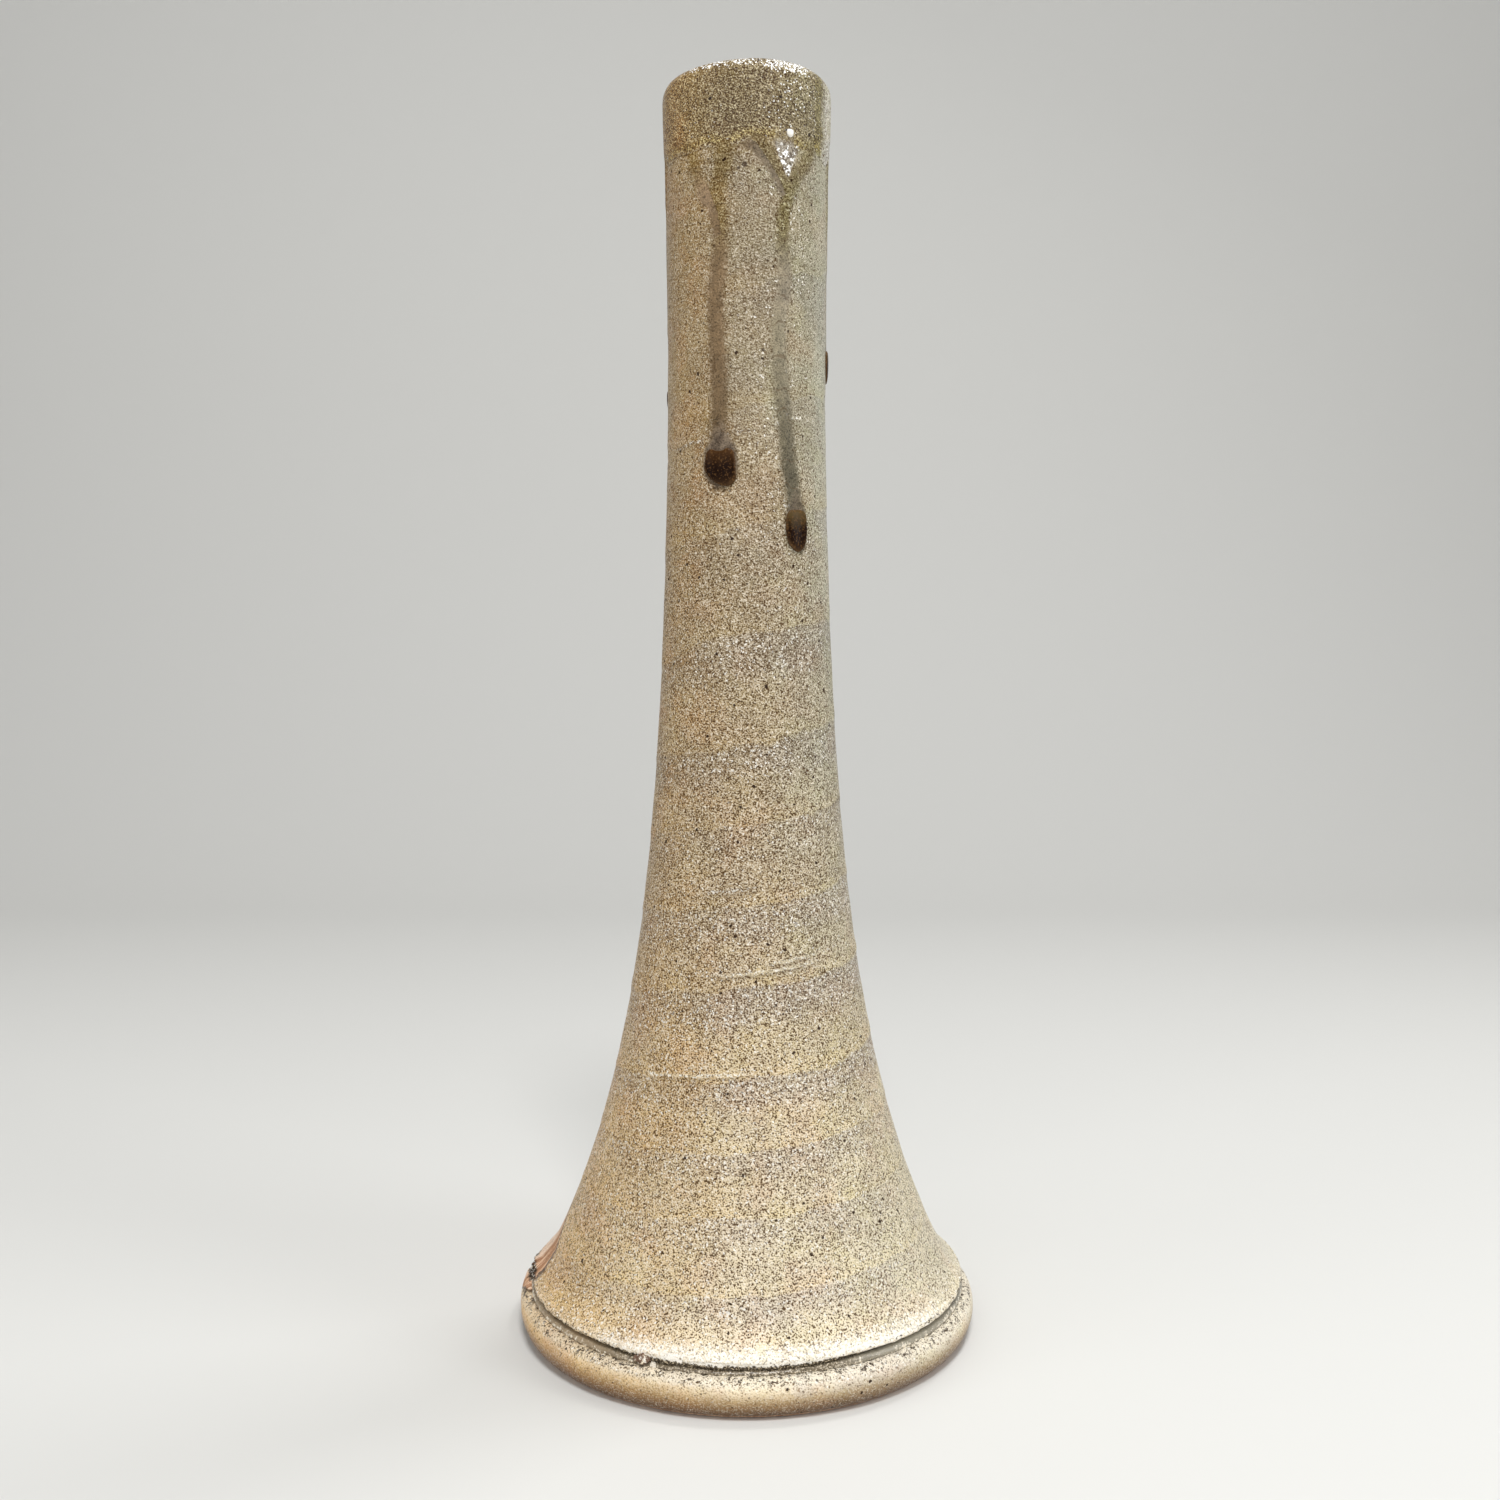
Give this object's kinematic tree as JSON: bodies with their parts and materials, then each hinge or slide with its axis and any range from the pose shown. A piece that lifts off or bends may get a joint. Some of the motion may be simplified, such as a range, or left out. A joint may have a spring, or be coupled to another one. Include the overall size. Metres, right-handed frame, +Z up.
{
  "type": "bottle vase",
  "caption": "Tall wheel-thrown stoneware bottle vase: slim neck flaring to a bell foot, groove and rounded bead at the base, ash glaze running from the lip in dark drops.",
  "frame": {"origin": "middle of the foot, on the surface that the vase stands on", "axes": "+Z up along the vase's own axis, -Y towards the front, where the two long glaze runs are"},
  "size_m": [0.1124, 0.1124, 0.3],
  "materials": {
    "glazed_stoneware": "thin speckled ash glaze over stoneware, satin",
    "glazed_foot": "thin speckled ash glaze over stoneware, satin",
    "bare_clay": "rough unglazed fired clay",
    "olive_glaze": "thick olive ash glaze, glossy and speckled",
    "grey_glaze": "smooth glassy run, glossy",
    "dark_glaze": "pooled brown-black glass, very glossy"
  },
  "bodies": {
    "root": {"neck_and_bell": "glazed_stoneware", "base_disc": "glazed_foot", "clay_crumb": "bare_clay", "rim_glaze_collar": "olive_glaze", "glaze_run_front_left": "grey_glaze", "glaze_run_front_right": "grey_glaze", "glaze_run_right_side": "grey_glaze", "glaze_run_left_side": "grey_glaze", "glaze_drop_front_left": "dark_glaze", "glaze_drop_front_right": "dark_glaze", "glaze_drop_right_side": "dark_glaze", "glaze_drop_left_side": "dark_glaze"}
  },
  "joints": []
}
